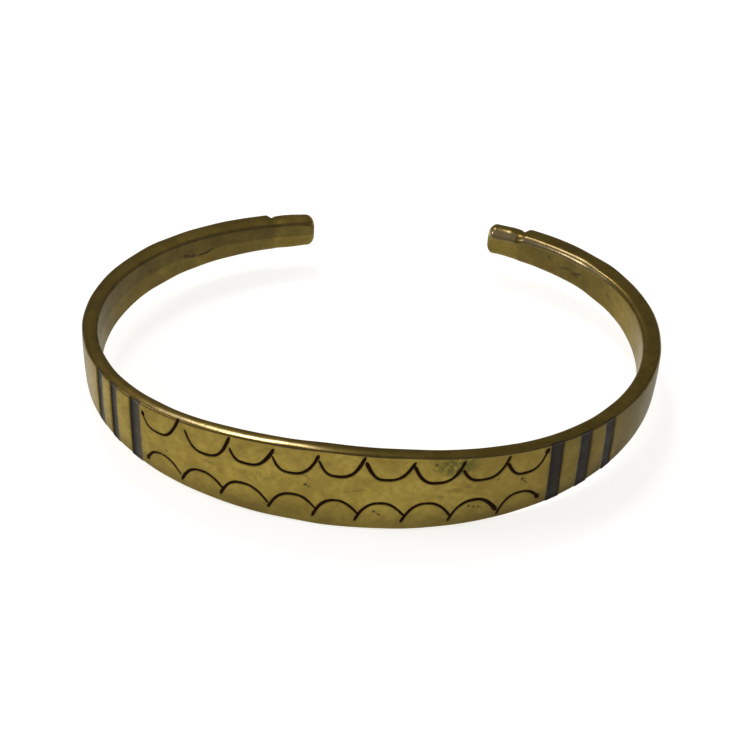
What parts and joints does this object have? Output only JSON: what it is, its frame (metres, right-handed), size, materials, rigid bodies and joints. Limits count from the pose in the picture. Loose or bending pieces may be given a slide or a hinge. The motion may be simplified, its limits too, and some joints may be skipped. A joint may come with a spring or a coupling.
{
  "type": "bangle bracelet",
  "caption": "Open oval cuff bangle of solid aged brass, tall engraved front panel tapering to low rounded arms, with black inlaid bars and blackened arch engraving.",
  "frame": {"origin": "middle of the bounding box, on its bottom plane", "axes": "+Z along the wrist, upwards; +X across the wrist, to the right of someone facing the engraved panel; -Y out of the engraved panel, so the open gap faces +Y"},
  "size_m": [0.064, 0.0524, 0.0096],
  "materials": {
    "brass": "aged, polished and handled, satin with soft scratches",
    "bar_filling": "blue-black enamel or bitumen-like filling, satin",
    "engraving_filling": "dark brown blackening, dull"
  },
  "bodies": {
    "root": {"cuff_band": "brass", "bar_fill_left_1": "bar_filling", "bar_fill_left_2": "bar_filling", "bar_fill_left_3": "bar_filling", "bar_fill_right_1": "bar_filling", "bar_fill_right_2": "bar_filling", "bar_fill_right_3": "bar_filling", "arch_fill_upper_1": "engraving_filling", "arch_fill_upper_2": "engraving_filling", "arch_fill_upper_3": "engraving_filling", "arch_fill_upper_4": "engraving_filling", "arch_fill_upper_5": "engraving_filling", "arch_fill_upper_6": "engraving_filling", "arch_fill_upper_7": "engraving_filling", "arch_fill_upper_8": "engraving_filling", "arch_fill_upper_9": "engraving_filling", "arch_fill_lower_1": "engraving_filling", "arch_fill_lower_2": "engraving_filling", "arch_fill_lower_3": "engraving_filling", "arch_fill_lower_4": "engraving_filling", "arch_fill_lower_5": "engraving_filling", "arch_fill_lower_6": "engraving_filling", "arch_fill_lower_7": "engraving_filling", "arch_fill_lower_8": "engraving_filling", "arch_fill_lower_9": "engraving_filling"}
  },
  "joints": []
}
